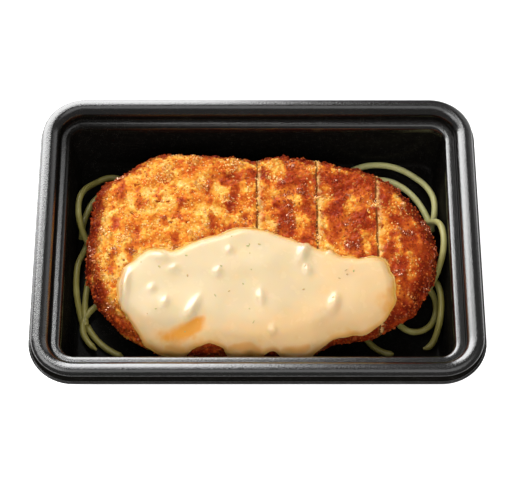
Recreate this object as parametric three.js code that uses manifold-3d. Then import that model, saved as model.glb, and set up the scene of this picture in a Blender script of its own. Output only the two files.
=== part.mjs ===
// Chicken nanban in its takeaway tray: one breaded, fried and glazed chicken cutlet, cut into four
// slices that still lie together, a creamy egg dressing over its front half, and a thin bed of
// noodles below, all in one black moulded tray.
// Millimetres. Origin: middle of the tray's underside. +X along the tray, +Y to its back, +Z up.

import * as THREE from "three";
import { ImprovedNoise } from "three/addons/math/ImprovedNoise.js";
import { mergeVertices } from "three/addons/utils/BufferGeometryUtils.js";
import Module from "manifold-3d";

// Between pieces that touch.
const GAP = 0.3;

// Corners of a mesh nearer than this are one corner.
const SAME_CORNER = 1e-4;

// Tray: a sheet drawn over a mould. Insets are measured in from the lip's outer edge.
const TRAY_LENGTH = 180;
const TRAY_WIDTH = 130;
const TRAY_HEIGHT = 30;
const SHEET = 0.8;
const TRAY_CORNER = 18.5;
const WELL_CORNER = 6;
const LIP_Z = 24.3;
const LEDGE_Z = 24.5;
const SKIRT_FOOT = 0.9;
const SKIRT_TOP = { inset: 1.2, z: 28.6 };
const CREST_INSET = 4.4;
const BEAD_INNER = { inset: 7.2, z: 27.4 };
const LEDGE_INSETS = { outer: 8.7, inner: 10.4 };
const WELL_TOP = { inset: 11.9, z: 23.2 };
const WELL_FOOT = { inset: 15.3, z: 2.6 };
const FLOOR_INSET = 17.6;
// Insets of the points that the bends of the section are drawn towards.
const BENDS = { outerShoulder: 1.5, innerShoulder: 6.6, beadFoot: 7.9, ledgeEdge: 11.6, wellFoot: 15.6 };
const BEND_STEPS = 4;
const CORNER_STEPS = 6;

// Cutlet: its plan is a squarish oval with a few swells, where angle and spread are in degrees.
const CUTLET_MIDDLE = new THREE.Vector2(0.5, -2.5);
const CUTLET_HALF = { left: 70, right: 72.5, back: 45, front: 46 };
const CUTLET_SQUARENESS = { backLeft: 2.9, backRight: 2.05, frontLeft: 2.5, frontRight: 2.25 };
const CUTLET_SWELLS = [
  { angle: 134, spread: 13, rise: 5.3 },
  { angle: 156, spread: 7, rise: 3 },
  { angle: 92, spread: 6, rise: -2.6 },
  { angle: 38, spread: 16, rise: 1.4 },
  { angle: 226, spread: 15, rise: 3 },
  { angle: 309, spread: 10, rise: -3.4 },
];
const CUTLET_TOP_Z = 24.8;
const CUTLET_CROWN = 1;
const CUTLET_WAIST_Z = 14;
const CUTLET_BASE_Z = 5.3;
const UNDERCUT = 0.16;

// Reach runs from the middle of the cutlet's top, over its shoulder, down its side and back under
// it, as a share of the plan's radius. The shares of the surface set how facets are spread.
const SHOULDER_REACH = 0.78;
const WAIST_REACH = 1.12;
const FOOT_REACH = 1.36;
const LAST_REACH = 2.2;
const TOP_SHARE = 0.34;
const SHOULDER_SHARE = 0.3;
const SIDE_SHARE = 0.16;
const CUTLET_DETAIL = 13;

// Crust relief: slow swells of the meat, and the crags of the crumb.
const LUMP = { size: 19, height: 1.1 };
const CRAG = { size: 3.7, height: 1.7 };

// The knife's three cuts across the cutlet.
const CUTS = [-0.2, 24.1, 48.4];
const KERF = 0.7;

// Dressing: its edge on the cutlet, laid out flat from the cutlet's middle, anticlockwise from the
// left end: the scalloped front edge with its drips, the right end, then the smoother back edge.
const DRESSING_EDGE = [
  [-57, -22], [-53, -32], [-49, -39], [-48, -47], [-42, -50], [-36, -53], [-28, -48], [-20, -44],
  [-15, -46], [-13, -55], [-4, -57], [1, -53], [4, -46], [8, -48], [12, -55], [20, -54],
  [26, -47], [32, -41], [41, -41], [50, -35], [54.5, -26], [54, -15], [49, -6.5], [37, -7.5],
  [25, -3.5], [14, 1], [5, 5], [-5, 7], [-14, 4], [-29, -1], [-34, -4], [-42, -2], [-51, -8],
];
const DRESSING_MIDDLE = new THREE.Vector2(-1, -24);
const DRESSING_DEPTH = 3;
const DRESSING_SIDE_THINNING = 0.9;
const DRESSING_LUMP = { size: 9, height: 0.9 };
const DRESSING_STEPS = 72;
// How the dressing's rounded edge rises: distance in from the edge, and share of the full depth.
const DRESSING_EDGE_RISE = [
  { inward: 0, share: -0.5 },
  { inward: 0, share: 0.15 },
  { inward: 0.5, share: 0.6 },
  { inward: 1.6, share: 0.88 },
];
// Rings over the rest of it and below it, drawn in towards its middle and eased into an oval.
const DRESSING_RINGS = [
  { share: 0.9, passes: 3 },
  { share: 0.76, passes: 8 },
  { share: 0.6, passes: 16 },
  { share: 0.42, passes: 24 },
  { share: 0.22, passes: 24 },
];
const DRESSING_SUNK = -0.7;

// Noodles: a thin bed under the cutlet, and strands that curl out past its edge. Each strand is an
// arc of an oval loop, between two angles in degrees, lying on the floor or up against the wall.
const NOODLE_RADIUS = 1.3;
const NOODLE_HALF_SIDES = 3;
const NOODLE_STEP = 5;
const CLIMB_STEP = 0.2;
const BED_SHARE = 0.87;
const BED_EDGE_SHARE = 0.97;
const BED_TOP_Z = 4.9;
const BED_STEPS = 30;
const LAID_OVER = 1.5;
const STRANDS = [
  { middle: [50.8, 24.4], half: [23.1, 23.4], from: 175, to: -72, lift: 0 },
  { middle: [50.9, 3.8], half: [22.8, 35.7], from: 140, to: 18, lift: LAID_OVER },
  { middle: [66, 2.5], half: [9.8, 17], from: 150, to: -130, lift: 0 },
  { middle: [67.4, -21.3], half: [6.9, 17.6], from: 152, to: -94, lift: 0 },
  { middle: [63.8, -20.6], half: [9, 11.6], from: 125, to: -160, lift: LAID_OVER },
  { middle: [55, -25.1], half: [13.5, 16.4], from: -165, to: -90, lift: 0 },
  { middle: [-61.7, 22.7], half: [12.7, 18.8], from: 8, to: 282, lift: 0 },
  { middle: [-59.5, 13.5], half: [13.5, 21], from: 40, to: 186, lift: LAID_OVER },
  { middle: [-17, -9.6], half: [57, 57.3], from: 160, to: 202, lift: 0 },
  { middle: [-11, -20], half: [59.3, 60], from: 167, to: 189, lift: LAID_OVER },
  { middle: [-33.8, -30], half: [37, 18.8], from: 128, to: 213, lift: LAID_OVER },
  { middle: [-46.8, -15.5], half: [25.2, 28.3], from: 208, to: 253, lift: 0 },
];

const COLOURS = {
  tray: { color: 0x141313, roughness: 0.38 },
  crust: { color: 0xb8642a, roughness: 0.55 },
  dressing: { color: 0xf2d8ad, roughness: 0.3 },
  noodle: { color: 0xa9a673, roughness: 0.45 },
};

const wasm = await Module();
wasm.setup();

function toSolid(geometry) {
  const bare = geometry.clone();
  bare.deleteAttribute("normal");
  bare.deleteAttribute("uv");
  const merged = mergeVertices(bare, SAME_CORNER);
  return new wasm.Manifold(
    new wasm.Mesh({
      numProp: 3,
      vertProperties: merged.attributes.position.array,
      triVerts: new Uint32Array(merged.index.array),
    }),
  );
}

function toGeometry(solid) {
  const mesh = solid.getMesh();
  const geometry = new THREE.BufferGeometry();
  geometry.setAttribute("position", new THREE.BufferAttribute(mesh.vertProperties, 3));
  geometry.setIndex(new THREE.BufferAttribute(mesh.triVerts, 1));
  geometry.computeVertexNormals();
  return geometry;
}

function namedMesh(name, geometry, finish) {
  const mesh = new THREE.Mesh(geometry, new THREE.MeshStandardMaterial({ metalness: 0, ...finish }));
  mesh.name = name;
  return mesh;
}

// A closed body lofted through equal rings, each anticlockwise from above on the way down, and
// shut by a point at each end.
function loft(first, rings, last) {
  const count = rings[0].length;
  const points = [first, ...rings.flat(), last];
  const end = points.length - 1;
  const index = [];
  for (let j = 0; j < count; j++) {
    const next = (j + 1) % count;
    index.push(0, 1 + j, 1 + next);
    for (let start = 1; start + count < end; start += count) {
      index.push(start + j, start + count + j, start + next);
      index.push(start + next, start + count + j, start + count + next);
    }
    index.push(end, end - count + next, end - count + j);
  }
  const geometry = new THREE.BufferGeometry().setFromPoints(points);
  geometry.setIndex(index);
  geometry.computeVertexNormals();
  return geometry;
}

// --- Tray ---

// The sheet's upper face, from the lip over the rim's bead and the ledge, down the well's wall.
function traySection() {
  const path = new THREE.Path();
  path.moveTo(0, LIP_Z);
  path.lineTo(SKIRT_FOOT, LEDGE_Z);
  path.lineTo(SKIRT_TOP.inset, SKIRT_TOP.z);
  path.quadraticCurveTo(BENDS.outerShoulder, TRAY_HEIGHT, CREST_INSET, TRAY_HEIGHT);
  path.quadraticCurveTo(BENDS.innerShoulder, TRAY_HEIGHT, BEAD_INNER.inset, BEAD_INNER.z);
  path.quadraticCurveTo(BENDS.beadFoot, LEDGE_Z, LEDGE_INSETS.outer, LEDGE_Z);
  path.lineTo(LEDGE_INSETS.inner, LEDGE_Z);
  path.quadraticCurveTo(BENDS.ledgeEdge, LEDGE_Z, WELL_TOP.inset, WELL_TOP.z);
  path.lineTo(WELL_FOOT.inset, WELL_FOOT.z);
  path.quadraticCurveTo(BENDS.wellFoot, SHEET, FLOOR_INSET, SHEET);
  path.lineTo(FLOOR_INSET + SHEET, SHEET);
  return path.getPoints(BEND_STEPS);
}

// The same line moved through the sheet to its underside.
function underside(section) {
  return section.map((point, i) => {
    const before = section[Math.max(i - 1, 0)];
    const after = section[Math.min(i + 1, section.length - 1)];
    const along = after.clone().sub(before).setLength(SHEET);
    return new THREE.Vector2(point.x + along.y, point.y - along.x);
  });
}

function trayRing(inset, z) {
  const corner = Math.max(TRAY_CORNER - inset, WELL_CORNER);
  const centreX = TRAY_LENGTH / 2 - inset - corner;
  const centreY = TRAY_WIDTH / 2 - inset - corner;
  const ring = [];
  for (let quarter = 0; quarter < 4; quarter++) {
    const x = quarter === 0 || quarter === 3 ? centreX : -centreX;
    const y = quarter < 2 ? centreY : -centreY;
    for (let k = 0; k <= CORNER_STEPS; k++) {
      const angle = ((quarter + k / CORNER_STEPS) * Math.PI) / 2;
      ring.push(new THREE.Vector3(x + corner * Math.cos(angle), y + corner * Math.sin(angle), z));
    }
  }
  return ring;
}

function trayGeometry() {
  const above = traySection();
  const below = underside(above);
  const line = [...above.reverse(), ...below];
  const rings = line.map((point) => trayRing(point.x, point.y));
  return loft(new THREE.Vector3(0, 0, SHEET), rings, new THREE.Vector3(0, 0, 0));
}

// --- Cutlet ---

const noise = new ImprovedNoise();

function relief(point, { size, height }) {
  return height * noise.noise(point.x / size, point.y / size, point.z / size);
}

function swell(angle, { angle: centre, spread, rise }) {
  const away = THREE.MathUtils.euclideanModulo(angle - centre + 180, 360) - 180;
  return rise * Math.exp(-((away / spread) ** 2));
}

// Radius of the cutlet's plan at an angle in radians.
function cutletRadius(angle) {
  const c = Math.cos(angle);
  const s = Math.sin(angle);
  const halfX = c < 0 ? CUTLET_HALF.left : CUTLET_HALF.right;
  const halfY = s < 0 ? CUTLET_HALF.front : CUTLET_HALF.back;
  const corner = (s < 0 ? "front" : "back") + (c < 0 ? "Left" : "Right");
  const n = CUTLET_SQUARENESS[corner];
  const oval = (Math.abs(c / halfX) ** n + Math.abs(s / halfY) ** n) ** (-1 / n);
  const degrees = THREE.MathUtils.radToDeg(angle);
  return CUTLET_SWELLS.reduce((radius, one) => radius + swell(degrees, one), oval);
}

// Section of the cutlet at a reach: how far out as a share of the plan's radius, how high, and how
// far the surface there is tipped from facing up.
function cutletSection(reach) {
  if (reach < SHOULDER_REACH) return { out: reach, z: CUTLET_TOP_Z, tip: 0 };
  if (reach < WAIST_REACH) {
    const tip = ((reach - SHOULDER_REACH) / (WAIST_REACH - SHOULDER_REACH)) * (Math.PI / 2);
    const out = SHOULDER_REACH + (1 - SHOULDER_REACH) * Math.sin(tip);
    const z = CUTLET_WAIST_Z + (CUTLET_TOP_Z - CUTLET_WAIST_Z) * Math.cos(tip);
    return { out, z, tip };
  }
  if (reach < FOOT_REACH) {
    const fall = ((reach - WAIST_REACH) / (FOOT_REACH - WAIST_REACH)) * (Math.PI / 2);
    const out = 1 - UNDERCUT * (1 - Math.cos(fall));
    const z = CUTLET_WAIST_Z - (CUTLET_WAIST_Z - CUTLET_BASE_Z) * Math.sin(fall);
    return { out, z, tip: Math.PI / 2 + fall };
  }
  const left = (LAST_REACH - reach) / (LAST_REACH - FOOT_REACH);
  return { out: (1 - UNDERCUT) * left, z: CUTLET_BASE_Z, tip: Math.PI };
}

// A place on the cutlet, proud of its surface by a distance, with or without the crust's crags. The
// relief fades out below the waist.
function onCutlet(angle, reach, proud, craggy) {
  const { out, z, tip } = cutletSection(reach);
  const radius = cutletRadius(angle) * out;
  const flat = new THREE.Vector2(Math.cos(angle), Math.sin(angle));
  const crown = reach < WAIST_REACH ? CUTLET_CROWN * (1 - out ** 2) : 0;
  const x = CUTLET_MIDDLE.x + radius * flat.x;
  const y = CUTLET_MIDDLE.y + radius * flat.y;
  const point = new THREE.Vector3(x, y, z + crown);
  const facing = new THREE.Vector3(
    flat.x * Math.sin(tip),
    flat.y * Math.sin(tip),
    Math.cos(tip),
  );
  const upper = (1 + Math.cos(Math.max(tip - Math.PI / 2, 0) * 2)) / 2;
  const lumps = relief(point, LUMP) + (craggy ? relief(point, CRAG) : 0);
  return point.addScaledVector(facing, proud + upper * lumps);
}

// Spreads the facets of a ball over the cutlet, with more on its top and shoulder than below.
function reachOf(height) {
  const share = (1 - height) / 2;
  const shoulderEnd = TOP_SHARE + SHOULDER_SHARE;
  const sideEnd = shoulderEnd + SIDE_SHARE;
  if (share < TOP_SHARE) return SHOULDER_REACH * Math.sqrt(share / TOP_SHARE);
  if (share < shoulderEnd) {
    return THREE.MathUtils.mapLinear(share, TOP_SHARE, shoulderEnd, SHOULDER_REACH, WAIST_REACH);
  }
  if (share < sideEnd) {
    return THREE.MathUtils.mapLinear(share, shoulderEnd, sideEnd, WAIST_REACH, FOOT_REACH);
  }
  return LAST_REACH - (LAST_REACH - FOOT_REACH) * Math.sqrt((1 - share) / (1 - sideEnd));
}

function cutletSolid(proud) {
  const ball = new THREE.IcosahedronGeometry(1, CUTLET_DETAIL);
  const position = ball.attributes.position;
  for (let i = 0; i < position.count; i++) {
    const direction = new THREE.Vector3().fromBufferAttribute(position, i).normalize();
    const angle = Math.atan2(direction.y, direction.x);
    const point = onCutlet(angle, reachOf(direction.z), proud, true);
    position.setXYZ(i, point.x, point.y, point.z);
  }
  return toSolid(ball);
}

// The four slices, from left to right.
function sliceSolids(cutlet) {
  const edges = [-TRAY_LENGTH / 2, ...CUTS, TRAY_LENGTH / 2];
  const slices = [];
  for (let i = 0; i + 1 < edges.length; i++) {
    const width = edges[i + 1] - edges[i] - KERF;
    const slab = new THREE.BoxGeometry(width, TRAY_WIDTH, TRAY_HEIGHT * 2);
    slab.translate((edges[i] + edges[i + 1]) / 2, 0, TRAY_HEIGHT);
    slices.push(cutlet.intersect(toSolid(slab)));
  }
  return slices;
}

// --- Dressing ---

// A place on or over the cutlet, from its place on the flat layout.
function fromLayout(flat, share) {
  const angle = Math.atan2(flat.y, flat.x);
  const reach = flat.length() / cutletRadius(angle);
  const down = THREE.MathUtils.smoothstep(reach, SHOULDER_REACH, WAIST_REACH);
  const place = new THREE.Vector3(flat.x, flat.y, 0);
  const depth = DRESSING_DEPTH + relief(place, DRESSING_LUMP) - DRESSING_SIDE_THINNING * down;
  return onCutlet(angle, reach, share * depth, false);
}

function dressingEdge() {
  const points = DRESSING_EDGE.map(([x, y]) => new THREE.Vector3(x, y, 0));
  const curve = new THREE.CatmullRomCurve3(points, true, "centripetal");
  const spaced = curve.getSpacedPoints(DRESSING_STEPS).slice(0, -1);
  return spaced.map((point) => new THREE.Vector2(point.x, point.y));
}

// The edge moved inward by a distance, on the flat layout.
function movedInward(edge, distance) {
  return edge.map((point, i) => {
    const before = edge[(i + edge.length - 1) % edge.length];
    const after = edge[(i + 1) % edge.length];
    const along = after.clone().sub(before).setLength(distance);
    return new THREE.Vector2(point.x - along.y, point.y + along.x);
  });
}

function eased(ring, passes) {
  if (passes === 0) return ring;
  const smoother = ring.map((point, i) => {
    const before = ring[(i + ring.length - 1) % ring.length];
    const after = ring[(i + 1) % ring.length];
    return before.clone().add(after).add(point).divideScalar(3);
  });
  return eased(smoother, passes - 1);
}

function drawnIn(ring, share) {
  return ring.map((point) => DRESSING_MIDDLE.clone().lerp(point, share));
}

function dressingSolid(cutletWithGap) {
  const edge = dressingEdge();
  const rounded = DRESSING_EDGE_RISE.map(({ inward, share }) =>
    movedInward(edge, inward).map((flat) => fromLayout(flat, share)),
  );
  const inner = DRESSING_RINGS.map(({ share, passes }) => drawnIn(eased(edge, passes), share));
  const top = inner.map((ring) => ring.map((flat) => fromLayout(flat, 1)));
  const under = inner.map((ring) => ring.map((flat) => fromLayout(flat, DRESSING_SUNK)));
  const rings = [...top.reverse(), ...rounded.reverse(), ...under];
  const above = fromLayout(DRESSING_MIDDLE, 1);
  const below = fromLayout(DRESSING_MIDDLE, DRESSING_SUNK);
  const pieces = toSolid(loft(above, rings, below)).subtract(cutletWithGap).decompose();
  return pieces.sort((a, b) => b.volume() - a.volume())[0];
}

// --- Noodles ---

// Inset of the well's wall at a height.
function wallInset(z) {
  if (z < WELL_FOOT.z) {
    return THREE.MathUtils.mapLinear(z, SHEET, WELL_FOOT.z, FLOOR_INSET, WELL_FOOT.inset);
  }
  return THREE.MathUtils.mapLinear(z, WELL_FOOT.z, WELL_TOP.z, WELL_FOOT.inset, WELL_TOP.inset);
}

// How far a place is from the well's wall at a height.
function roomToWall(x, y, z) {
  const inset = wallInset(z);
  const overX = Math.abs(x) - (TRAY_LENGTH / 2 - inset - WELL_CORNER);
  const overY = Math.abs(y) - (TRAY_WIDTH / 2 - inset - WELL_CORNER);
  if (overX > 0 && overY > 0) return WELL_CORNER - Math.hypot(overX, overY);
  return WELL_CORNER - Math.max(overX, overY);
}

// The height of a strand's middle where it lies on the floor, or as far up the wall as it must be.
function restingHeight(x, y) {
  let z = SHEET + GAP + NOODLE_RADIUS;
  while (z < WELL_TOP.z && roomToWall(x, y, z) < GAP + NOODLE_RADIUS) z += CLIMB_STEP;
  return z;
}

class StrandCurve extends THREE.Curve {
  constructor({ middle, half, from, to, lift }) {
    super();
    Object.assign(this, { middle, half, from, to, lift });
  }

  getPoint(t, target = new THREE.Vector3()) {
    const angle = THREE.MathUtils.degToRad(THREE.MathUtils.lerp(this.from, this.to, t));
    const x = this.middle[0] + this.half[0] * Math.cos(angle);
    const y = this.middle[1] + this.half[1] * Math.sin(angle);
    const floor = SHEET + GAP + NOODLE_RADIUS;
    return target.set(x, y, Math.max(restingHeight(x, y), floor + this.lift));
  }
}

function strandGeometry(strand) {
  const curve = new StrandCurve(strand);
  const section = new THREE.Shape();
  section.absarc(0, 0, NOODLE_RADIUS, 0, Math.PI * 2);
  return new THREE.ExtrudeGeometry(section, {
    extrudePath: curve,
    steps: Math.round(curve.getLength() / NOODLE_STEP),
    curveSegments: NOODLE_HALF_SIDES,
    bevelEnabled: false,
  });
}

function bedRing(share, z) {
  return Array.from({ length: BED_STEPS }, (_, k) => {
    const angle = (k / BED_STEPS) * Math.PI * 2;
    const radius = cutletRadius(angle) * BED_SHARE * share;
    const x = CUTLET_MIDDLE.x + radius * Math.cos(angle);
    const y = CUTLET_MIDDLE.y + radius * Math.sin(angle);
    return new THREE.Vector3(x, y, z);
  });
}

// The bed under the cutlet, with its strands joined on.
function noodleSolid() {
  const low = SHEET + GAP;
  const middle = (low + BED_TOP_Z) / 2;
  const top = bedRing(BED_EDGE_SHARE, BED_TOP_Z);
  const rings = [top, bedRing(1, middle), bedRing(BED_EDGE_SHARE, low)];
  const bed = loft(new THREE.Vector3(0, 0, BED_TOP_Z), rings, new THREE.Vector3(0, 0, low));
  return STRANDS.reduce((joined, strand) => joined.add(toSolid(strandGeometry(strand))), toSolid(bed));
}

// --- Assembly ---

const nanban = new THREE.Group();
nanban.add(namedMesh("tray", trayGeometry(), COLOURS.tray));
nanban.add(namedMesh("noodles", toGeometry(noodleSolid()), COLOURS.noodle));
sliceSolids(cutletSolid(0)).forEach((slice, i) => {
  nanban.add(namedMesh(`cutlet_slice_${i + 1}`, toGeometry(slice), COLOURS.crust));
});
nanban.add(namedMesh("dressing", toGeometry(dressingSolid(cutletSolid(GAP))), COLOURS.dressing));

export default nanban;
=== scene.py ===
import math
import random
from bisect import bisect_left

import bmesh
import bpy
from mathutils import Matrix, Vector, noise
from mathutils.bvhtree import BVHTree
from mathutils.kdtree import KDTree


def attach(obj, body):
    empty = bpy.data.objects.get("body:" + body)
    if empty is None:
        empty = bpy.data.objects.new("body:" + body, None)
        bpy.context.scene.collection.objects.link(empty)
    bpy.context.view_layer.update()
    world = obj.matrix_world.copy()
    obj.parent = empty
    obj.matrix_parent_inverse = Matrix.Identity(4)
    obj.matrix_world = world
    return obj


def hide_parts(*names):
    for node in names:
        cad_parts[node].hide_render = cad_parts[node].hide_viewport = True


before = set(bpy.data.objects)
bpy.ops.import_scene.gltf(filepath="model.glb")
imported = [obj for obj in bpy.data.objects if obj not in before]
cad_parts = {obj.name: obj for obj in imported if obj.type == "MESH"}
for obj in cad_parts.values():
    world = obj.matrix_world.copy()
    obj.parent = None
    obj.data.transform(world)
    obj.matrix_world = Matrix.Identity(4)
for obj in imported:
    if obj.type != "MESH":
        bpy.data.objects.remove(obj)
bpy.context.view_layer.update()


# Tray: one black moulded sheet with a fine grey grain, drawn over a mould. The lip turns up into a
# rolled bead, then a ledge runs round the tapered well. Sizes in millimetres until they are placed.

MM = 0.001
TRAY_LENGTH, TRAY_WIDTH, TRAY_HEIGHT, SHEET = 180.0, 130.0, 30.0, 0.8
TRAY_CORNER, WELL_CORNER, CORNER_STEPS = 18.5, 6.0, 14
LIP_Z, LEDGE_Z, BEAD_INSET = 24.3, 24.5, 9.0

# The wall of the well goes from its top to its foot, each an inset from the outline and a height.
WELL_TOP, WELL_FOOT, FLOOR_INSET = (11.9, 23.2), (15.3, 2.6), 17.6

# Each stretch of the section runs to a point (inset, height). A bend is drawn towards another. The
# last number is how much of its shine the sheet kept: it went dull where it was stretched most,
# and the ledge kept the least at the back left.
TRAY_SECTION = [
    ((0.0, LIP_Z), None, 0.9),
    ((0.85, LEDGE_Z), None, 0.9),
    ((0.9, 24.8), None, 0.0),
    ((1.2, 28.6), None, 0.0),
    ((4.1, TRAY_HEIGHT), (2.0, TRAY_HEIGHT), 1.0),
    ((7.8, 27.8), (6.4, TRAY_HEIGHT), 1.0),
    ((8.4, 25.6), (8.3, 27.1), 0.25),
    ((BEAD_INSET, LEDGE_Z), (8.4, LEDGE_Z), 0.1),
    ((9.3, LEDGE_Z), None, 1.0),
    ((10.3, LEDGE_Z), None, 1.0),
    ((12.6, 22.3), (12.3, LEDGE_Z), 1.0),
    ((12.8, 20.8), None, 0.06),
    (WELL_FOOT, None, 0.04),
    ((FLOOR_INSET, SHEET), (15.6, SHEET), 0.02),
]
BEND_STEPS = 8
BACK_LEFT_SHINE = 0.1


class Wire:
    """A socket of a material's nodes. Arithmetic on it adds Math nodes."""

    def __init__(self, tree, socket):
        self.tree = tree
        self.socket = socket

    def node(self, kind, settings=None, inputs=None, output=0):
        """Adds a node: its settings first, then the values or links of its sockets."""
        made = self.tree.nodes.new(kind)
        for key, value in (settings or {}).items():
            if key == "stops":
                while len(made.color_ramp.elements) < len(value):
                    made.color_ramp.elements.new(1.0)
                for stop, (place, colour) in zip(made.color_ramp.elements, value):
                    stop.position = place
                    stop.color = (*colour, 1.0)
            else:
                setattr(made, key, value)
        for key, value in (inputs or {}).items():
            if isinstance(value, Wire):
                self.tree.links.new(value.socket, made.inputs[key])
            else:
                made.inputs[key].default_value = value
        return Wire(self.tree, made.outputs[output]) if made.outputs else None

    def maths(self, operation, first, second):
        return self.node("ShaderNodeMath", {"operation": operation}, {0: first, 1: second})

    def __add__(self, other):
        return self.maths("ADD", self, other)

    def __radd__(self, other):
        return self.maths("ADD", other, self)

    def __sub__(self, other):
        return self.maths("SUBTRACT", self, other)

    def __rsub__(self, other):
        return self.maths("SUBTRACT", other, self)

    def __mul__(self, other):
        return self.maths("MULTIPLY", self, other)

    def __rmul__(self, other):
        return self.maths("MULTIPLY", other, self)

    def grain(self, size, detail=2.0):
        """Soft noise, 0 to 1, with a grain of so many millimetres."""
        inputs = {"Vector": self, "Scale": 1.0 / (size * MM), "Detail": detail}
        return self.node("ShaderNodeTexNoise", {}, inputs)

    def cells(self, size):
        """How far it is to the nearest of many scattered points, so many millimetres apart."""
        inputs = {"Vector": self, "Scale": 1.0 / (size * MM)}
        return self.node("ShaderNodeTexVoronoi", {}, inputs, "Distance")

    def part(self, axis):
        """One coordinate, in metres."""
        return self.node("ShaderNodeSeparateXYZ", {}, {0: self}, axis)

    def rise(self, low, high):
        """0 where the value is under low, 1 where it is over high, and smooth between."""
        inputs = {"Value": self, "From Min": low, "From Max": high}
        return self.node("ShaderNodeMapRange", {"interpolation_type": "SMOOTHSTEP"}, inputs)

    def tinted(self, first, second):
        """A colour from first, where this is 0, to second, where it is 1."""
        colours = [c if isinstance(c, Wire) else (*c, 1.0) for c in (first, second)]
        inputs = {0: self, 6: colours[0], 7: colours[1]}
        return self.node("ShaderNodeMix", {"data_type": "RGBA"}, inputs, 2)

    def shades(self, *stops):
        """A colour from a ramp of places and colours."""
        return self.node("ShaderNodeValToRGB", {"stops": stops}, {0: self})

    def carried(self, name):
        """A value that the mesh carries on its corners."""
        return self.node("ShaderNodeAttribute", {"attribute_name": name}, {}, "Fac")

    def bumped(self, height, strength, depth):
        """A surface roughened by a height, which is so many millimetres where it is 1."""
        inputs = {"Height": height, "Strength": strength, "Distance": depth * MM}
        return self.node("ShaderNodeBump", {}, inputs)

    def skin(self, inputs):
        """A surface of one kind, which may be mixed with another."""
        return self.node("ShaderNodeBsdfPrincipled", {}, inputs)

    def shown(self, skin):
        self.node("ShaderNodeOutputMaterial", {}, {"Surface": skin})

    def finish(self, inputs):
        self.shown(self.skin(inputs))


def new_material(name):
    """A material without nodes, and the place on the object that its patterns start from."""
    material = bpy.data.materials.new(name)
    material.use_nodes = True
    material.node_tree.nodes.clear()
    place = material.node_tree.nodes.new("ShaderNodeTexCoord")
    return material, Wire(material.node_tree, place.outputs["Object"])


def mesh_from(shape, name, smooth=True):
    """Turns a bmesh into a mesh, and frees it."""
    mesh = bpy.data.meshes.new(name)
    for face in shape.faces:
        face.smooth = smooth
    shape.to_mesh(mesh)
    shape.free()
    return mesh


def place_piece(shape, name, material, slot, *nodes, smooth=True):
    """Makes a shape one of the object's pieces, in place of the solids that it names."""
    mesh = mesh_from(shape, name, smooth)
    mesh.materials.append(material)
    piece = bpy.data.objects.new(name, mesh)
    bpy.context.scene.collection.objects.link(piece)
    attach(piece, "root")
    if nodes:
        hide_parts(*nodes)
    return piece


def bend(start, towards, end, steps):
    """The points of a curve that leaves its start towards a third point."""
    points = []
    for k in range(1, steps + 1):
        t = k / steps
        shares = ((1 - t) ** 2, 2 * t * (1 - t), t * t)
        points.append(tuple(sum(a * b for a, b in zip(shares, ends)) for ends in zip(start, towards, end)))
    return points


def tray_ring(shape, inset, height):
    """The face of a rounded rectangle, so far inside the tray's outline."""
    corner = max(TRAY_CORNER - inset, WELL_CORNER)
    size = Matrix.Diagonal((TRAY_LENGTH - 2 * inset, TRAY_WIDTH - 2 * inset, 1.0, 1.0))
    place = Matrix.Translation((0.0, 0.0, height)) @ size
    verts = bmesh.ops.create_grid(shape, x_segments=1, y_segments=1, size=0.5, matrix=place)["verts"]
    bevelled = bmesh.ops.bevel(
        shape, geom=verts, offset=corner, offset_type="OFFSET", affect="VERTICES",
        segments=CORNER_STEPS, profile=0.5, material=-1,
    )
    return max(bevelled["faces"] or bevelled["verts"][0].link_faces, key=lambda f: len(f.verts))


section = [(TRAY_SECTION[0][0], TRAY_SECTION[0][2])]
for end, towards, shine in TRAY_SECTION[1:]:
    points = [end] if towards is None else bend(section[-1][0], towards, end, BEND_STEPS)
    section += [(point, shine) for point in points]

tray_shape = bmesh.new()
shine_layer = tray_shape.verts.layers.float.new("shine")
last_edges = None
for (inset, height), shine in section:
    face = tray_ring(tray_shape, inset, height)
    for vert in face.verts:
        back_left = inset > BEAD_INSET and vert.co.x < 0.0 < vert.co.y
        vert[shine_layer] = shine * BACK_LEFT_SHINE if back_left else shine
    edges = list(face.edges)
    if inset != FLOOR_INSET:
        bmesh.ops.delete(tray_shape, geom=[face], context="FACES_ONLY")
    if last_edges:
        bmesh.ops.bridge_loops(tray_shape, edges=last_edges + edges)
    last_edges = edges
bmesh.ops.scale(tray_shape, vec=(MM, MM, MM), verts=tray_shape.verts)
bmesh.ops.recalc_face_normals(tray_shape, faces=tray_shape.faces)
if sum(f.normal.z * f.calc_area() for f in tray_shape.faces) < 0:
    bmesh.ops.reverse_faces(tray_shape, faces=tray_shape.faces)

tray_finish, place = new_material("speckled_black_sheet")
fleck = place.cells(0.42).rise(0.34, 0.1) * place.grain(2.2, 3.0).rise(0.35, 0.75)
pebble = place.grain(0.75, 2.0) + 0.5 * place.grain(0.3, 1.0)
sheet_look = {
    "Base Color": fleck.tinted((0.004, 0.0036, 0.003), (0.06, 0.056, 0.05)),
    "Roughness": 0.12 + 0.13 * place.grain(0.7, 3.0),
    "Normal": place.bumped(pebble, 0.7, 0.07),
}
dull = place.skin({**sheet_look, "Specular IOR Level": 0.0})
shiny = place.skin({**sheet_look, "Specular IOR Level": 1.0, "IOR": 1.74})
place.shown(place.node("ShaderNodeMixShader", {}, {0: place.carried("shine"), 1: dull, 2: shiny}))
tray = place_piece(tray_shape, "tray_sheet", tray_finish, "tray", "tray")
thickness = tray.modifiers.new("sheet", "SOLIDIFY")
thickness.thickness = SHEET * MM
thickness.offset = -1.0
thickness.use_even_offset = True
lip = tray.modifiers.new("cut_edge", "BEVEL")
lip.width = 0.22 * MM
lip.segments = 2
lip.limit_method = "ANGLE"
lip.angle_limit = math.radians(55)


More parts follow.
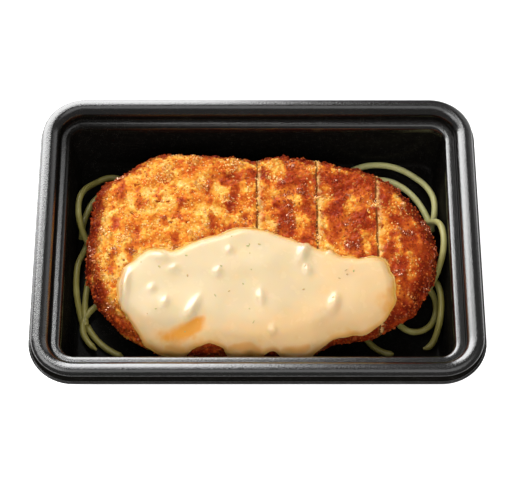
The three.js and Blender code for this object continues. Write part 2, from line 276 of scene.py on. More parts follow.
# Noodles: cooked thin spaghetti, moist and pale olive. A flat bed lies under the cutlet, and a few
# strands curl out past its edge on the tray's floor or lean up against the wall of the well.

GAP = 0.3
NOODLE_RADIUS = 1.3
LAID_OVER = 1.5
FLOOR_REST = SHEET + GAP + NOODLE_RADIUS
CLIMB_STEP, CLIMB_REACH = 0.05, 5
STRAND_POINTS, TAPERED_POINTS = 72, 5

# Each is part of an oval loop: its middle, half sizes, first and last angle, how high it is laid,
# and whether its end is in sight.
STRANDS = [
    ((50.8, 24.4), (23.1, 23.4), 175, -72, 0.0, False),
    ((50.9, 3.8), (22.8, 35.7), 140, 18, LAID_OVER, False),
    ((66.0, 2.5), (9.8, 17.0), 150, -130, 0.0, False),
    ((67.4, -21.3), (6.9, 17.6), 152, -94, 0.0, True),
    ((63.8, -20.6), (9.0, 11.6), 125, -160, LAID_OVER, False),
    ((55.0, -25.1), (13.5, 16.4), -165, -90, 0.0, True),
    ((-61.7, 22.7), (12.7, 18.8), 8, 282, 0.0, False),
    ((-59.5, 13.5), (13.5, 21.0), 40, 186, LAID_OVER, False),
    ((-17.0, -9.6), (57.0, 57.3), 160, 202, 0.0, False),
    ((-11.0, -20.0), (59.3, 60.0), 167, 189, LAID_OVER, False),
    ((-33.8, -30.0), (37.0, 18.8), 128, 213, LAID_OVER, True),
    ((-46.8, -15.5), (25.2, 28.3), 208, 253, 0.0, True),
]

# The plan of the cutlet, which the bed lies under: a squarish oval with swells (angle, spread, rise).
CUTLET_MIDDLE = Vector((0.5, -2.5))
CUTLET_HALF = {"left": 70.0, "right": 72.5, "back": 45.0, "front": 46.0}
SQUARENESS = {"backleft": 2.9, "backright": 2.05, "frontleft": 2.5, "frontright": 2.25}
SWELLS = [(134, 13, 5.3), (156, 7, 3.0), (92, 6, -2.6), (38, 16, 1.4), (226, 15, 3.0), (309, 10, -3.4)]


def cutlet_radius(angle):
    """How far the cutlet's edge is from its middle."""
    c, s = math.cos(angle), math.sin(angle)
    side = "left" if c < 0 else "right"
    end = "front" if s < 0 else "back"
    n = SQUARENESS[end + side]
    radius = (abs(c / CUTLET_HALF[side]) ** n + abs(s / CUTLET_HALF[end]) ** n) ** (-1 / n)
    for centre, spread, rise in SWELLS:
        away = (math.degrees(angle) - centre + 180) % 360 - 180
        radius += rise * math.exp(-((away / spread) ** 2))
    return radius


def room_to_wall(x, y, z):
    """How far a point is from the wall of the well, which leans out, and more so near its foot."""
    (top_inset, top_z), (foot_inset, foot_z) = WELL_TOP, WELL_FOOT
    inset = foot_inset + (top_inset - foot_inset) * (z - foot_z) / (top_z - foot_z)
    if z < foot_z:
        inset = FLOOR_INSET + (foot_inset - FLOOR_INSET) * (z - SHEET) / (foot_z - SHEET)
    over_x = abs(x) - (TRAY_LENGTH / 2 - inset - WELL_CORNER)
    over_y = abs(y) - (TRAY_WIDTH / 2 - inset - WELL_CORNER)
    if over_x > 0 and over_y > 0:
        return WELL_CORNER - math.hypot(over_x, over_y)
    return WELL_CORNER - max(over_x, over_y)


def resting_height(x, y):
    """How high a noodle lies: on the floor, or as far up the wall as it needs to clear it."""
    z = FLOOR_REST
    while z < WELL_TOP[1] and room_to_wall(x, y, z) < GAP + NOODLE_RADIUS:
        z += CLIMB_STEP
    return z


def eased_heights(heights):
    """Raises a line of heights over its peaks, then smooths it, so that it never sinks below itself."""
    last = len(heights) - 1
    spans = [(max(k - CLIMB_REACH, 0), min(k + CLIMB_REACH, last) + 1) for k in range(last + 1)]
    raised = [max(heights[a:b]) for a, b in spans]
    return [sum(raised[a:b]) / (b - a) for a, b in spans]


def applied(maker):
    """The mesh that a curve or an object with modifiers makes."""
    bpy.context.scene.collection.objects.link(maker)
    bpy.context.view_layer.update()
    made = bpy.data.meshes.new_from_object(maker.evaluated_get(bpy.context.evaluated_depsgraph_get()))
    bpy.data.objects.remove(maker)
    return made


heap = bpy.data.curves.new("noodle_strands", "CURVE")
heap.dimensions = "3D"
heap.bevel_depth = NOODLE_RADIUS * MM
heap.bevel_resolution = 4
heap.use_fill_caps = True
for which, (middle, half, first, last, lift, end_shows) in enumerate(STRANDS):
    strand = heap.splines.new("POLY")
    strand.points.add(STRAND_POINTS - 1)
    angles = [math.radians(first + (last - first) * k / (STRAND_POINTS - 1)) for k in range(STRAND_POINTS)]
    plan = [(middle[0] + half[0] * math.cos(a), middle[1] + half[1] * math.sin(a)) for a in angles]
    heights = eased_heights([max(resting_height(x, y), FLOOR_REST + lift) for x, y in plan])
    for k, (point, (x, y), z) in enumerate(zip(strand.points, plan, heights)):
        sway = 0.12 * noise.noise(Vector((x, y, 40.0 * which)) / 9.0)
        point.co = ((x + sway) * MM, (y - sway) * MM, z * MM, 1.0)
        point.radius = 1.0 + 0.05 * noise.noise(Vector((x, y, 7.0 * which)) / 3.0)
        to_end = STRAND_POINTS - 1 - k
        if end_shows and to_end < TAPERED_POINTS:
            point.radius *= 0.35 + 0.65 * to_end / TAPERED_POINTS

BED_SHARE, BED_INSET, BED_TOP, BED_ROUNDING = 0.87, 0.8, 4.9, 1.1
bed_shape = bmesh.new()
bed = bmesh.ops.create_circle(bed_shape, cap_ends=True, cap_tris=False, segments=120, radius=1.0)["verts"]
for vert in bed:
    angle = math.atan2(vert.co.y, vert.co.x)
    outward = Vector((math.cos(angle), math.sin(angle), 0.0))
    ripple = 0.5 * noise.noise(outward * 7.0)
    outer = outward.xy * (cutlet_radius(angle) * BED_SHARE + ripple - BED_INSET) + CUTLET_MIDDLE
    vert.co = Vector((outer.x, outer.y, SHEET + GAP)) * MM
doubled = bmesh.ops.extrude_face_region(bed_shape, geom=bed_shape.faces[:], use_keep_orig=True)["geom"]
lifted = [item for item in doubled if isinstance(item, bmesh.types.BMVert)]
bmesh.ops.translate(bed_shape, verts=lifted, vec=(0.0, 0.0, (BED_TOP - SHEET - GAP) * MM))
level_edges = [e for e in bed_shape.edges if abs(e.verts[0].co.z - e.verts[1].co.z) < 1e-7]
bmesh.ops.bevel(
    bed_shape, geom=level_edges, offset=BED_ROUNDING * MM, offset_type="OFFSET", affect="EDGES",
    segments=3, profile=0.5, material=-1,
)
bmesh.ops.triangulate(bed_shape, faces=[f for f in bed_shape.faces if len(f.verts) > 4])
bed_shape.from_mesh(applied(bpy.data.objects.new("noodle_strands", heap)))
bmesh.ops.recalc_face_normals(bed_shape, faces=bed_shape.faces)

noodle_finish, place = new_material("cooked_noodle")
# The noodles' colour carries painted light and shade. It is darker on the left, at the front and on the
# outermost strand, where the wall and the cutlet shade them, and paler at the back right, where the light
# falls. A soft noise adds real tone.
painted_light_back_right = place.part("X").rise(-0.08, 0.05) * place.part("Y").rise(-0.05, 0.04)
painted_shade_outermost = place.part("X").rise(0.066, 0.076)
painted_light_and_tone = (0.5 * place.grain(6.0, 2.0) + 0.6 * painted_light_back_right - 0.15 * painted_shade_outermost).rise(0.2, 0.8)
place.finish({
    "Base Color": painted_light_and_tone.tinted((0.25, 0.215, 0.052), (0.60, 0.575, 0.25)),
    "Roughness": 0.28 + 0.2 * place.grain(1.6, 2.0),
    "Subsurface Weight": 0.25,
    "Subsurface Radius": (1.0, 0.8, 0.35),
    "Subsurface Scale": 1.2 * MM,
    "Normal": place.bumped(place.grain(0.9, 3.0), 0.3, 0.12),
})
place_piece(bed_shape, "noodle_bundle", noodle_finish, "noodle", "noodles")


# Cutlet: a flattened boneless thigh in crumb, fried and glazed, then cut by three strokes of the
# knife. Each slice takes its form from its solid, and its crust is raised into granules and pits.

# Where each cut is along the tray, and how far either side has closed up at its lip. Lower down
# the two sides touch.
CUTS = {-0.2: 0.24, 24.1: 0.2, 48.4: 0.34}
TOUCHING, RAGGED = 0.36, 2.4

# How fine the mesh is on the crust's top and sides, under the dressing and in a cut, and near the floor.
VISIBLE_GRAIN, SIDE_GRAIN, COVERED_GRAIN, HIDDEN_GRAIN = 0.34, 0.42, 1.0, 2.4
HIDDEN_BELOW, COVER_REACH, REFINING_ROUNDS = 9.0, 5.0, 6

# How large the crumb's granules are, and the clumps that they gather in.
COARSE, FINE, CLUMP = 1.7, 0.95, 3.4


def copied(node):
    """A node's solid as one closed shape, in millimetres."""
    shape = bmesh.new()
    shape.from_mesh(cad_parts[node].data)
    bmesh.ops.remove_doubles(shape, verts=shape.verts, dist=1e-6)
    bmesh.ops.scale(shape, vec=(1 / MM, 1 / MM, 1 / MM), verts=shape.verts)
    shape.normal_update()
    return shape


cover = copied("dressing")
cover_tree = BVHTree.FromBMesh(cover)
cover.free()


def covered(spot, facing):
    """Whether the dressing lies over a place on the crust."""
    return cover_tree.ray_cast(spot, facing, COVER_REACH)[0] is not None


def in_a_cut(spot, facing, squareness, nearness):
    """Whether a place faces along the tray squarely enough, and is near enough to a cut."""
    return abs(facing.x) > squareness and min(abs(spot.x - cut) for cut in CUTS) < nearness


def crust_grain(vert):
    """How fine the crust has to be at a corner."""
    if vert.co.z < HIDDEN_BELOW or vert.normal.z < -0.35:
        return HIDDEN_GRAIN
    if in_a_cut(vert.co, vert.normal, 0.97, 0.5) or covered(vert.co, vert.normal):
        return COVERED_GRAIN
    return VISIBLE_GRAIN if vert.normal.z > 0.3 else SIDE_GRAIN


def refined(shape, wanted, rounds):
    """Splits edges in two until each is about as short as its finer end wants."""
    for _ in range(rounds):
        shape.normal_update()
        grain = [wanted(vert) for vert in shape.verts]
        shape.verts.index_update()
        long = [e for e in shape.edges if e.calc_length() > 1.4 * min(grain[v.index] for v in e.verts)]
        if not long:
            break
        bmesh.ops.subdivide_edges(shape, edges=long, cuts=1, use_grid_fill=True)
        bmesh.ops.triangulate(shape, faces=[f for f in shape.faces if len(f.verts) > 3])


def smoothed(shape, rounds, sideways=True):
    """Evens a shape out. If not sideways, only its heights are evened."""
    for _ in range(rounds):
        bmesh.ops.smooth_vert(
            shape, verts=shape.verts, factor=0.5,
            use_axis_x=sideways, use_axis_y=sideways, use_axis_z=True,
        )


def soft_step(value, low, high):
    """0 up to low and 1 from high on, and smooth between. It runs the other way if low is the higher."""
    t = min(max((value - low) / (high - low), 0.0), 1.0)
    return t * t * (3 - 2 * t)


def rim_share(spot):
    """0 on the middle of the cutlet and 1 at its edge."""
    away = Vector((spot.x, spot.y)) - CUTLET_MIDDLE
    return away.length / cutlet_radius(math.atan2(away.y, away.x))


def glaze_at(spot, rim):
    """How thick the sticky glaze lies: in long patches, more on the right slices and round the rim."""
    right = soft_step(spot.x, -40.0, 40.0)
    drawn_out = Vector((spot.x / 4.6, spot.y / 7.5, spot.z / 4.6))
    patches = noise.noise(drawn_out) + 0.35 * noise.noise(spot / 2.0 + Vector((9.0, 0.0, 3.0)))
    return soft_step(patches - 0.22 + 0.45 * right + 0.6 * rim, -0.22, 0.36)


def granules(spot, size):
    """Rounded crumbs packed together, each 0 at its edge and up to 1 at its middle."""
    near, places = noise.voronoi(spot / size)
    tall = 0.3 + 0.7 * noise.cell(places[0] * 31.0) ** 2
    return max(1.0 - (near[0] / 0.62) ** 2, 0.0) * tall


def crumb_fill(spot, hollow, glaze):
    """How full of crumb a place is: granules of two sizes, with pits where no glaze fills them."""
    coarse, fine = granules(spot, COARSE), granules(spot + Vector((50.0, 0.0, 0.0)), FINE)
    rough = noise.noise(spot / 1.1 + Vector((0.0, 0.0, 30.0)))
    pit = soft_step(hollow, 0.5, 0.66) * (1.0 - glaze)
    return 0.62 * coarse + 0.38 * fine + 0.35 * rough - 0.6 * pit


def closed_up(vert, cut, ragged):
    """How far a corner on the side of a cut has moved towards the other side."""
    if all(abs(edge.other_vert(vert).normal.x) > 0.95 for edge in vert.link_edges):
        return TOUCHING
    pressed = CUTS[cut] + 0.1 * soft_step(vert.co.y + 10.0 * ragged, 6.0, 22.0)
    return min(pressed + 0.3 * noise.noise(Vector((cut, vert.co.y / 3.0, 3.0))), TOUCHING)


def crusted(node):
    """A slice with its crust raised. Its corners carry what the finish has to know of them."""
    shape = copied(node)
    refined(shape, crust_grain, REFINING_ROUNDS)
    smoothed(shape, 2)
    shape.normal_update()
    layers = [shape.verts.layers.float.new(name) for name in ("glaze", "crumb", "meat", "inside", "rim")]
    moves = []
    for vert in shape.verts:
        spot = vert.co.copy()
        cut = min(CUTS, key=lambda x: abs(spot.x - x))
        away = spot.x - cut
        ragged = noise.noise(Vector((cut, spot.y, spot.z)) / RAGGED)
        inside = soft_step(abs(vert.normal.x), 0.6, 0.95) * soft_step(abs(away), 0.9, 0.5)
        torn = soft_step(noise.noise(spot / 2.2), -0.45, 0.0)
        scraped = soft_step(away, 2.6 + 2.2 * ragged, 0.4) * (away > 0) * torn
        rim = max(soft_step(rim_share(spot), 0.88, 0.99), soft_step(vert.normal.z, 0.6, 0.2)) * (1.0 - inside)
        glaze = glaze_at(spot, rim) * (1.0 - 0.9 * scraped)

        clump = granules(spot + Vector((0.0, 30.0, 0.0)), CLUMP)
        hollow = noise.noise(spot / 2.6 + Vector((0.0, 70.0, 0.0)))
        crumb = crumb_fill(spot, hollow, glaze)
        height = 0.95 * crumb * (1.0 - 0.55 * glaze) + (0.7 + 0.5 * rim) * clump
        height = (height + 0.3 * hollow + 0.1 * glaze - 0.55) * (1.0 - 0.85 * inside)
        height -= 0.15 * soft_step(abs(away), 1.0, 0.2) * (1.0 - inside)
        wander = 0.55 * noise.noise(Vector((cut, spot.y / 7.0, 8.0))) * soft_step(abs(away), 4.0, 1.0)
        aside = wander - inside * math.copysign(closed_up(vert, cut, ragged), away)
        moves.append(vert.normal * height + Vector((aside, 0.0, 0.0)))

        raised_crumb = min(max(0.5 + 0.75 * (crumb - 0.35), 0.0), 1.0)
        values = (glaze, raised_crumb, 0.75 * scraped * (1.0 - inside), inside, rim)
        for layer, value in zip(layers, values):
            vert[layer] = value
    for vert, move in zip(shape.verts, moves):
        vert.co += move
    bmesh.ops.scale(shape, vec=(MM, MM, MM), verts=shape.verts)
    return shape


crust_finish, place = new_material("glazed_crumb")
glaze = place.carried("glaze")
crumb = place.carried("crumb")
rim = place.carried("rim")
# The front of the cutlet, where the tray's rim shades it, is painted lighter: it is browned less there. This
# is painted light. Glaze, rim and the right side brown it.
front = place.part("Y").rise(-0.02, -0.045)
toast_and_painted_light = 0.33 * glaze + 0.2 * rim + 0.16 * place.part("X").rise(-0.05, 0.07) - 0.12 * front
patches = 1.2 * place.grain(7.5, 1.0) + 0.6 * place.grain(2.6, 2.0) + 0.3 * place.grain(0.9, 2.0)
# Higher crumb is painted a little lighter, which is a painted highlight on its tips.
crust = (patches + 0.3 * crumb - 0.44 - toast_and_painted_light).shades(
    (0.0, (0.26, 0.022, 0.005)), (0.18, (0.38, 0.042, 0.007)), (0.34, (0.50, 0.078, 0.011)),
    (0.48, (0.62, 0.135, 0.016)), (0.62, (0.76, 0.235, 0.026)), (0.78, (0.87, 0.41, 0.058)),
    (1.0, (0.95, 0.65, 0.20)),
)
singed = rim * (place.grain(4.0, 2.0) + 0.3 * crumb).rise(0.34, 0.68)
# The rim is singed less at the front, which is painted light where the tray's rim shades it.
crust = ((0.9 - 0.4 * front) * singed).tinted(crust, (0.10, 0.008, 0.004))
# The pits between crumbs are painted darker, as painted shade. The tips of dry crumb are painted pale, as
# painted highlights.
crust = crumb.rise(0.2, 0.0).tinted(crust, (0.36, 0.065, 0.006))
crust = (0.55 * crumb.rise(0.72, 1.0) * (1.0 - glaze)).tinted(crust, (0.98, 0.74, 0.34))
crust = place.carried("meat").tinted(crust, (0.94, 0.62, 0.24))
fried = place.skin({
    "Base Color": crust,
    "Roughness": 0.55 - 0.25 * glaze + 0.2 * place.grain(0.8, 2.0),
    "Specular IOR Level": 0.05,
    "Coat Weight": 0.06 * glaze,
    "Coat Roughness": 0.12,
    "Subsurface Weight": 0.3,
    "Subsurface Radius": (1.0, 0.4, 0.12),
    "Subsurface Scale": 1.2 * MM,
    "Normal": place.bumped(place.cells(0.55) + 0.5 * place.grain(0.3, 2.0), 0.4, 0.12),
})
# The walls of a cut are painted a near-black brown, far darker than meat. This is painted shade of the narrow
# slit.
shaded_cut_face = place.skin({
    "Base Color": place.grain(1.5, 2.0).tinted((0.10, 0.022, 0.006), (0.34, 0.13, 0.035)),
    "Roughness": 0.9,
    "Specular IOR Level": 0.0,
})
place.shown(place.node("ShaderNodeMixShader", {}, {0: place.carried("inside"), 1: fried, 2: shaded_cut_face}))
slices = []
for which in range(1, 5):
    node = f"cutlet_slice_{which}"
    slices.append(place_piece(crusted(node), f"crust_{which}", crust_finish, "crust", node))


# Loose crumbs: angular bits of dry crumb and blobs of glazed crumb that stand proud of the crust.
# They are stuck on wherever it shows, and lie thickest where it is damp with glaze.

CRUMBS, CRUMBS_A_BATCH = 8000, 160
SMALLEST_CRUMB, CRUMB_SPREAD = 0.2, 0.36
BIG_ON_TOP, BIG_ON_SIDES, BIG_CRUMB = 0.012, 0.07, 2.0
CRUMB_LOWEST = 10.0
chance = random.Random(11)


def dampness(spot):
    """Where the crumb is wet through with glaze, in clusters a few millimetres across."""
    return soft_step(noise.noise(spot / 5.5 + Vector((0.0, 0.0, 60.0))), 0.2, 0.45)


def bare_faces(piece):
    """The faces of a slice that show: a running total, which is the chance of a crumb, face and glaze."""
    glaze, rim = (piece.data.attributes[name].data for name in ("glaze", "rim"))
    faces, total = [], 0.0
    for face in piece.data.polygons:
        spot, facing = face.center / MM, face.normal
        hidden = spot.z < CRUMB_LOWEST or facing.z < -0.3 or in_a_cut(spot, facing, 0.9, 1.0)
        if hidden or covered(spot, facing):
            continue
        total += face.area * (0.5 + 0.9 * dampness(spot))
        corner = face.vertices[0]
        faces.append((total, face, max(glaze[corner].value, rim[corner].value)))
    return faces


def crumb_at(batch, spot, facing, size, glaze, layers):
    """Adds one irregular crumb, sunk a little into the crust."""
    stretch = Matrix.Diagonal([chance.uniform(0.7, 1.35) for _ in range(3)])
    turn = Vector([chance.uniform(-3, 3) for _ in range(3)])
    turned = Matrix.Rotation(turn.length, 3, turn) @ stretch * size
    body = bmesh.ops.create_icosphere(batch, subdivisions=1, radius=1.0)["verts"]
    # Only the smallest crumbs reach the palest tone, which is a painted highlight.
    tint = chance.random() * min(0.4 * MM / size, 1.0)
    damp = dampness(spot / MM)
    for vert in body:
        vert.co = spot + facing * (0.25 * size) + turned @ (vert.co * chance.uniform(0.72, 1.15))
        vert[layers[0]] = tint
        vert[layers[1]] = glaze
        vert[layers[2]] = damp


bare = [bare_faces(piece) for piece in slices]
shares = [faces[-1][0] for faces in bare]
crumbs_shape = bmesh.new()
for _ in range(CRUMBS // CRUMBS_A_BATCH):
    batch = bmesh.new()
    layers = [batch.verts.layers.float.new(name) for name in ("tint", "glaze", "damp")]
    for _ in range(CRUMBS_A_BATCH):
        faces = chance.choices(bare, weights=shares)[0]
        goal = chance.uniform(0.0, faces[-1][0])
        _, face, glaze = faces[bisect_left(faces, goal, key=lambda entry: entry[0])]
        size = SMALLEST_CRUMB + CRUMB_SPREAD * chance.random() ** 3
        size *= (1.0 + 0.3 * dampness(face.center / MM)) * MM
        if chance.random() < (BIG_ON_TOP if face.normal.z > 0.4 else BIG_ON_SIDES):
            size *= BIG_CRUMB
        crumb_at(batch, face.center, face.normal, size, glaze, layers)
    batch_mesh = mesh_from(batch, "crumb_batch")
    crumbs_shape.from_mesh(batch_mesh)
    bpy.data.meshes.remove(batch_mesh)

crumb_finish, place = new_material("loose_crumb")
tint = place.carried("tint")
glaze = place.carried("glaze")
# A crumb's tone differs at random. The palest dry crumbs stand in for highlights on crumb tips, as painted
# highlights.
dry = tint.shades((0.0, (0.72, 0.22, 0.02)), (0.45, (0.92, 0.46, 0.08)), (1.0, (0.98, 0.74, 0.34)))
wet = tint.shades((0.0, (0.27, 0.028, 0.006)), (0.6, (0.42, 0.060, 0.011)), (1.0, (0.66, 0.17, 0.036)))
crumb_look = {
    "Base Color": glaze.tinted(dry, wet),
    "Subsurface Weight": 0.2,
    "Subsurface Radius": (1.0, 0.45, 0.15),
    "Subsurface Scale": 0.8 * MM,
    "Normal": place.bumped(place.grain(0.25, 2.0), 0.4, 0.05),
}
crisp = place.skin({**crumb_look, "Roughness": 0.7, "Specular IOR Level": 0.1})
shining = place.skin({
    **crumb_look,
    "Roughness": 0.14,
    "Specular IOR Level": 1.0,
    "Specular Tint": (1.0, 0.66, 0.46, 1.0),
    "IOR": 2.4,
})
moist = place.carried("damp") * (0.6 + 0.4 * glaze)
place.shown(place.node("ShaderNodeMixShader", {}, {0: moist, 1: crisp, 2: shining}))
place_piece(crumbs_shape, "loose_crumbs", crumb_finish, "crust", smooth=False)


# Dressing: mayonnaise with chopped egg, spooned over the front half while thick. It takes its form
# from its solid, gets its round edge back by smoothing, and is raised into soft lumps.

VOXEL = 0.55
ROUNDING_ROUNDS, LEVELLING_ROUNDS = 28, 62

solid_shape = copied("dressing")
bmesh.ops.scale(solid_shape, vec=(MM, MM, MM), verts=solid_shape.verts)
solid = bpy.data.objects.new("dressing_solid", mesh_from(solid_shape, "dressing_solid"))
even = solid.modifiers.new("even", "REMESH")
even.mode = "VOXEL"
even.voxel_size = VOXEL * MM
dressing_shape = bmesh.new()
dressing_shape.from_mesh(applied(solid))
bmesh.ops.scale(dressing_shape, vec=(1 / MM, 1 / MM, 1 / MM), verts=dressing_shape.verts)
smoothed(dressing_shape, ROUNDING_ROUNDS)
smoothed(dressing_shape, LEVELLING_ROUNDS, sideways=False)

# Where egg heaps it up or it has run thin: (x, y, half length and half width, turn, height).
LUMPS = [
    (-52.3, -24.5, 14.0, 2.3, 87, 1.7), (-36.5, -31.5, 3.4, 2.6, 80, 1.0), (-25.5, -34.0, 7.0, 3.0, 66, 1.6),
    (-15.8, -18.0, 3.0, 2.5, 80, 1.0), (1.4, -29.5, 4.7, 2.4, 100, 1.1), (18.5, -8.5, 7.0, 3.0, 72, 1.6),
    (20.0, -17.0, 3.7, 2.5, 100, 1.0), (29.2, -7.5, 3.6, 2.5, 85, 1.1), (30.4, -31.5, 5.2, 3.0, 75, 1.6),
    (6.0, -43.0, 2.8, 2.3, 80, 0.9), (42.0, -22.0, 8.0, 6.0, 20, 0.4), (10.0, -34.0, 8.0, 6.0, 120, 0.3),
    (24.0, -38.0, 8.0, 5.0, 60, 0.5), (-44.0, -37.0, 7.0, 5.0, 100, 0.4), (-38.4, -10.5, 5.0, 2.8, 160, 0.8),
    (-33.4, -16.0, 3.4, 2.7, 20, 0.6), (-41.9, -25.0, 3.0, 2.5, 85, 0.8), (-11.3, -8.0, 2.8, 2.3, 80, 0.7),
    (-12.0, -31.0, 9.0, 6.0, 80, -0.3), (-32.0, -43.0, 10.0, 4.5, 12, -0.7),
    (-24.0, -40.0, 7.0, 4.0, 35, -0.8), (50.0, -30.0, 6.0, 7.0, 60, -0.4),
]


def lumps_at(spot):
    """How far egg raises the dressing at a place, and how far it has sunk where it has run thin."""
    raised, thinned = 0.0, 0.0
    for x, y, length, width, turn, rise in LUMPS:
        aside = Matrix.Rotation(math.radians(-turn), 2) @ Vector((spot.x - x, spot.y - y))
        change = rise * math.exp(-2.0 * ((aside.x / length) ** 2 + (aside.y / width) ** 2))
        raised += max(change, 0.0)
        thinned += max(-change, 0.0)
    return raised, thinned


# How much higher it stands than its solid, how far in its edge is rounded, how far the edge wavers,
# how far the underside settles into the crust, and how much shallower it looks where it has run thin.
PROUD, ROUNDED, FRAYED, SETTLED, SHALLOWER = 0.25, 4.0, 0.9, 0.45, 2.6

dressing_shape.normal_update()
sides = [vert.co for vert in dressing_shape.verts if abs(vert.normal.z) < 0.25]
outline = KDTree(len(sides))
for k, side in enumerate(sides):
    outline.insert((side.x, side.y, 0.0), k)
outline.balance()
depth_layer, lump_layer, edge_layer = [
    dressing_shape.verts.layers.float.new(name) for name in ("depth", "lump", "edge")
]
moves = []
for vert in dressing_shape.verts:
    spot = vert.co
    from_edge = outline.find((spot.x, spot.y, 0.0))[2]
    raised, thinned = lumps_at(spot)
    vert[edge_layer] = soft_step(from_edge, 1.3, 0.1)
    vert[lump_layer] = raised
    vert[depth_layer] = -SHALLOWER * thinned
    height = PROUD + 0.03 * noise.noise(spot / 6.0) + raised - thinned
    height *= soft_step(vert.normal.z, -0.1, 0.5)
    sunk = soft_step(from_edge, ROUNDED, 0.0) * (0.5 + 0.8 * soft_step(spot.y, -34.0, -24.0))
    sunk *= soft_step(vert.normal.z, -0.5, 0.1)
    frayed = FRAYED * noise.noise(Vector((spot.x, spot.y, 5.0)) / 4.5) * soft_step(from_edge, 3.0, 0.0)
    outward = Vector((vert.normal.x, vert.normal.y, 0.0)) * frayed
    moves.append(vert.normal * height + outward - Vector((0.0, 0.0, sunk)))
for vert, move in zip(dressing_shape.verts, moves):
    vert.co += move

# Each corner learns how deep the dressing is there.
crust_below = bmesh.new()
for piece in slices:
    crust_below.from_mesh(piece.data)
crust_tree = BVHTree.FromBMesh(crust_below)
crust_below.free()
for vert in dressing_shape.verts:
    vert[depth_layer] += crust_tree.find_nearest(vert.co * MM)[3] / MM
    if vert.normal.z < -0.1:
        vert.co += vert.normal * SETTLED
bmesh.ops.scale(dressing_shape, vec=(MM, MM, MM), verts=dressing_shape.verts)

dressing_finish, place = new_material("egg_dressing")
depth = place.carried("depth")
edge = place.carried("edge")
laid_thin = 0.25 * depth.rise(3.4, 1.4)
right_and_front = 0.35 * place.part("X").rise(-0.02, 0.055) + 0.3 * place.part("Y").rise(-0.03, -0.048)
warmth = 0.5 * place.grain(16.0, 2.0) + laid_thin + right_and_front
cream = warmth.rise(0.25, 0.75).tinted((0.75, 0.598, 0.37), (0.87, 0.59, 0.295))
cream = (0.75 * edge).tinted(cream, (0.83, 0.39, 0.09))
place.finish({
    "Base Color": (depth + 0.8 * place.grain(3.0, 2.0)).rise(2.6, 0.6).tinted(cream, (0.84, 0.37, 0.06)),
    "Roughness": 0.2 + 0.12 * place.grain(4.0, 2.0) + 0.3 * edge,
    "Specular IOR Level": 0.25,
    "Subsurface Weight": 0.6,
    "Subsurface Radius": (1.0, 0.55, 0.22),
    "Subsurface Scale": 2.2 * MM,
    "Coat Weight": 0.95 * place.carried("lump").rise(0.12, 0.45),
    "Coat Roughness": 0.13,
    "Coat IOR": 1.62,
    "Normal": place.bumped(place.grain(1.5, 2.0), 0.1, 0.08),
})
top_tree = BVHTree.FromBMesh(dressing_shape)
place_piece(dressing_shape, "egg_dressing", dressing_finish, "dressing", "dressing")


# Herb flecks: tiny flat bits of dried leaf, olive to brown. They were stirred in with the egg, and
# the ones that show are half sunk in the top of the dressing.

FLECKS, FLECK_THICKNESS, FALL_HEIGHT = 26, 0.2, 40.0
FLECKS_ACROSS, FLECKS_ALONG = (-54.0, 40.0), (-48.0, 4.0)
fleck_shape = bmesh.new()
fleck_tint = fleck_shape.verts.layers.float.new("tint")
laid = 0
while laid < FLECKS:
    above = Vector((chance.uniform(*FLECKS_ACROSS), chance.uniform(*FLECKS_ALONG), FALL_HEIGHT)) * MM
    spot, facing, _, _ = top_tree.ray_cast(above, Vector((0.0, 0.0, -1.0)))
    if not spot or facing.z < 0.7:
        continue
    laid += 1
    size = Vector((chance.uniform(0.35, 0.9), chance.uniform(0.28, 0.5), FLECK_THICKNESS)) * MM
    turn = facing.to_track_quat("Z", "Y").to_matrix() @ Matrix.Rotation(chance.uniform(0.0, math.tau), 3, "Z")
    leaf = bmesh.ops.create_icosphere(fleck_shape, subdivisions=1, radius=1.0)["verts"]
    tint = chance.random()
    for vert in leaf:
        vert.co = spot + turn @ Vector([a * b for a, b in zip(vert.co * chance.uniform(0.75, 1.1), size)])
        vert[fleck_tint] = tint
fleck_finish, place = new_material("dried_herb")
place.finish({
    "Base Color": place.carried("tint").shades(
        (0.0, (0.42, 0.40, 0.13)), (0.6, (0.55, 0.46, 0.19)), (1.0, (0.60, 0.33, 0.12)),
    ),
    "Roughness": 0.5 + 0.2 * place.grain(0.3),
    "Normal": place.bumped(place.grain(0.15), 0.5, 0.04),
})
place_piece(fleck_shape, "herb_flecks", fleck_finish, "dressing", smooth=False)


# Stage: a plain white table, two soft windows on the left behind the tray, a lamp, a card, a ceiling
# and a fill light, and the camera. Places are in metres.

floor_shape = bmesh.new()
bmesh.ops.create_grid(floor_shape, x_segments=1, y_segments=1, size=3.0)
floor_finish, place = new_material("white_table")
place.finish({
    "Base Color": (0.9, 0.9, 0.9, 1.0),
    "Roughness": 0.8,
    "Emission Color": (1.0, 1.0, 1.0, 1.0),
    "Emission Strength": 0.85,
})
floor_mesh = mesh_from(floor_shape, "table")
floor_mesh.materials.append(floor_finish)
floor = bpy.data.objects.new("table", floor_mesh)
bpy.context.scene.collection.objects.link(floor)


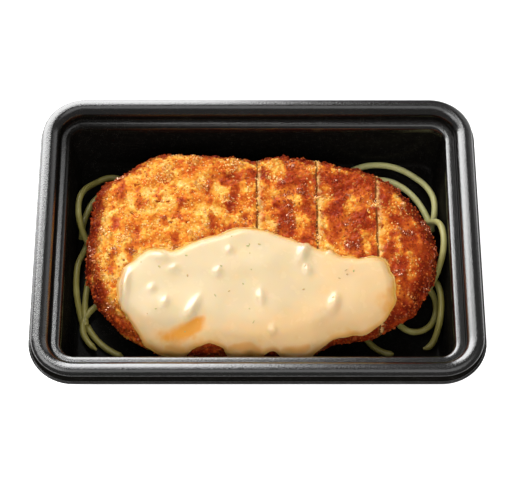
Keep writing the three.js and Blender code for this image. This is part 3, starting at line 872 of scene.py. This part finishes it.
def soft_light(name, place, aim, size, power):
    lamp = bpy.data.lights.new(name, "AREA")
    lamp.shape = "RECTANGLE"
    lamp.size, lamp.size_y = size
    lamp.energy = power
    light = bpy.data.objects.new(name, lamp)
    bpy.context.scene.collection.objects.link(light)
    light.location = place
    light.rotation_euler = (Vector(aim) - Vector(place)).to_track_quat("-Z", "Y").to_euler()
    return light


soft_light("left_window", (-0.5, 0.52, 0.4), (-0.5, 0, 0.4), (1.0, 0.78), 12.6)
soft_light("upper_window", (-0.4, 0.52, 1.115), (-0.4, 0, 1.115), (0.76, 0.19), 2.8)
soft_light("left_lamp", (-0.55, 0.05, 0.86), (0, 0, 0.02), (0.5, 0.5), 1.2)
soft_light("right_card", (0.65, 0.52, 0.3), (0.65, 0, 0.3), (0.8, 0.6), 0.75)
soft_light("ceiling", (0, -0.1, 1.0), (0, -0.1, 0), (1.2, 0.54), 1.25)

# It only lightens the front, and makes no highlight of its own.
fill = soft_light("front_fill", (0.2, -0.8, 0.75), (0, 0, 0.02), (1.2, 0.7), 8.5)
fill.visible_glossy = False

world = bpy.data.worlds.new("studio")
world.use_nodes = True
background = world.node_tree.nodes["Background"]
background.inputs["Color"].default_value = (1.0, 1.0, 1.0, 1.0)
background.inputs["Strength"].default_value = 0.1
bpy.context.scene.world = world
bpy.context.scene.view_settings.view_transform = "Standard"

AIM = Vector((0.0, -0.0041, 0.030))
ELEVATION, DISTANCE = math.radians(60.7), 0.80
SENSOR_WIDTH, PICTURE_WIDTH, FOCAL_LENGTH_IN_PIXELS = 36.0, 515.0, 1999.0
lens = bpy.data.cameras.new("camera")
lens.sensor_width = SENSOR_WIDTH
lens.lens = FOCAL_LENGTH_IN_PIXELS * SENSOR_WIDTH / PICTURE_WIDTH
camera = bpy.data.objects.new("camera", lens)
bpy.context.scene.collection.objects.link(camera)
camera.location = AIM + Vector((0.0, -math.cos(ELEVATION), math.sin(ELEVATION))) * DISTANCE
camera.rotation_euler = (math.pi / 2 - ELEVATION, 0.0, 0.0)
bpy.context.scene.camera = camera
